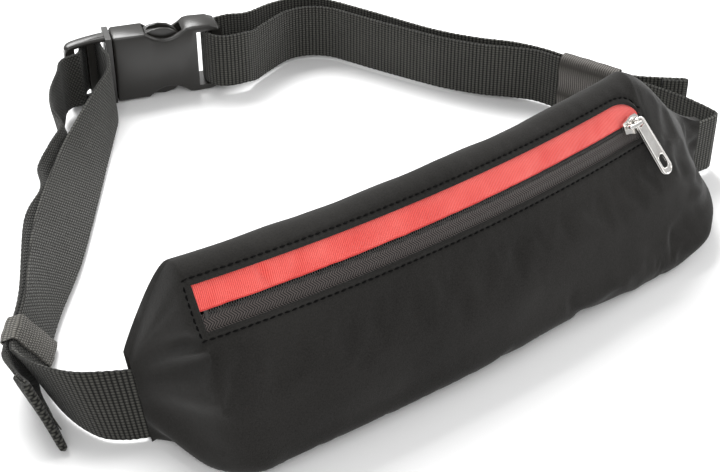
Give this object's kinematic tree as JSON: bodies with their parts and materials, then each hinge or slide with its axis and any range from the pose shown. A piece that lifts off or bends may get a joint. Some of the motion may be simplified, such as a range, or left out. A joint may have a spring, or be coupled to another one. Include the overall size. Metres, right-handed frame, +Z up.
{
  "type": "money belt",
  "caption": "Slim soft waist pouch with a zip on its upper front, two webbing straps with elastic keepers, and a side-release buckle at the back.",
  "frame": {"origin": "middle of the underside of the whole belt's box, on the surface it stands on", "axes": "+X along the pouch towards the end where the zip closes, +Y from the pouch to the buckle, +Z up"},
  "size_m": [0.304, 0.2458, 0.0712],
  "materials": {
    "black_fabric": "matt stretch knit",
    "zip_tape_black": "woven herringbone tape",
    "zip_coil_black": "satin nylon",
    "nickel": "polished nickel plate",
    "red_ribbon": "ribbed ribbon",
    "black_thread": "sewing thread",
    "grey_webbing": "coarse ribbed webbing",
    "grey_elastic": "ribbed elastic",
    "buckle_plastic": "satin moulded plastic"
  },
  "bodies": {
    "belt": {"pouch_front_panel": "black_fabric", "pouch_back_panel": "black_fabric", "zip_tape_upper": "zip_tape_black", "zip_tape_lower": "zip_tape_black", "zip_coil_upper": "zip_coil_black", "zip_coil_lower": "zip_coil_black", "zip_bottom_stop": "nickel", "zip_top_stop_upper": "nickel", "zip_top_stop_lower": "nickel", "red_ribbon": "red_ribbon", "zip_topstitch": "black_thread", "strap_right_main": "grey_webbing", "strap_right_loop": "grey_webbing", "strap_right_tail": "grey_webbing", "strap_left_main": "grey_webbing", "strap_left_tail": "grey_webbing", "buckle_socket": "buckle_plastic", "bartack_right": "black_thread", "bartack_left": "black_thread"},
    "zip_slider": {"zip_slider_body": "nickel", "zip_slider_bridge": "nickel"},
    "zip_pull": {"pull_tab": "nickel"},
    "plug": {"buckle_plug": "buckle_plastic", "strap_left_loop": "grey_webbing"},
    "latch_upper": {"latch_arm_upper": "buckle_plastic"},
    "latch_lower": {"latch_arm_lower": "buckle_plastic"},
    "keeper_on_right": {"keeper_right": "grey_elastic"},
    "keeper_on_left": {"keeper_left": "grey_elastic"}
  },
  "joints": [
    {"name": "zip_travel", "type": "hinge", "parent": "belt", "child": "zip_slider", "pos_m": [-0.01734, 0.56422, 0.0585], "axis": [0, 0, 1], "range_deg": [-14.4, 0]},
    {"name": "pull_tab_swing", "type": "hinge", "parent": "zip_slider", "child": "zip_pull", "pos_m": [0.06939, -0.10015, 0.0585], "axis": [0.1099, -0.8677, 0.4848], "range_deg": [-30, 95]},
    {"name": "plug_slide", "type": "slide", "parent": "belt", "child": "plug", "axis": [-0.9397, 0.342, 0], "range_m": [0, 0.036], "deforming": ["strap_left_loop", "latch_arm_upper", "latch_arm_lower"]},
    {"name": "latch_upper_press", "type": "hinge", "parent": "plug", "child": "latch_upper", "pos_m": [-0.02133, 0.11466, 0.0264], "axis": [-0.342, -0.9397, 0], "range_deg": [-8.5, 0], "stiffness_Nm_per_rad": 0.3},
    {"name": "latch_lower_press", "type": "hinge", "parent": "plug", "child": "latch_lower", "pos_m": [-0.02133, 0.11466, 0.0056], "axis": [-0.342, -0.9397, 0], "range_deg": [0, 8.5], "stiffness_Nm_per_rad": 0.3},
    {"name": "keeper_right_slide", "type": "slide", "parent": "belt", "child": "keeper_on_right", "axis": [-0.3304, 0.9439, 0], "range_m": [0, 0.007]},
    {"name": "keeper_left_slide", "type": "slide", "parent": "belt", "child": "keeper_on_left", "axis": [0.6, 0.8, 0], "range_m": [0, 0.008]}
  ],
  "couplings": [
    {"joint": "latch_lower_press", "follows": "latch_upper_press", "ratio": -1}
  ]
}
